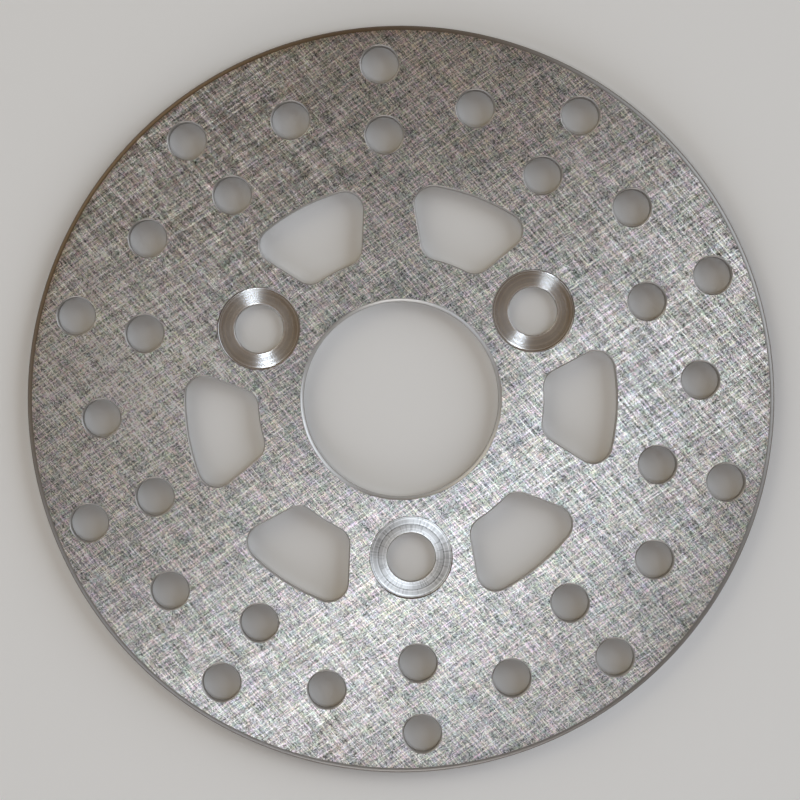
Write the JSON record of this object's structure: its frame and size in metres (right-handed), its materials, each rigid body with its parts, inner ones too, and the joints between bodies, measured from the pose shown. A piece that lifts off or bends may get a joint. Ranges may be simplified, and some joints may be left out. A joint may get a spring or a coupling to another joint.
{
  "type": "scooter brake disc rotor",
  "caption": "Flat drilled steel brake disc with a centre bore, lightening windows around the hub and recessed bolt seats.",
  "frame": {"origin": "centre of the bore, in the plane of the hub-side face, which the disc lies on", "axes": "+Z along the wheel axle, out of the outer face that has the bolt seats; +X through one of the single drilled holes; the YZ plane is the mirror plane"},
  "size_m": [0.18, 0.18, 0.004],
  "materials": {
    "ground_steel": "ground both faces with a fine crossed grain, turned finish in the bolt seats, machined edges"
  },
  "bodies": {
    "root": {"brake_disc": "ground_steel"}
  },
  "joints": []
}
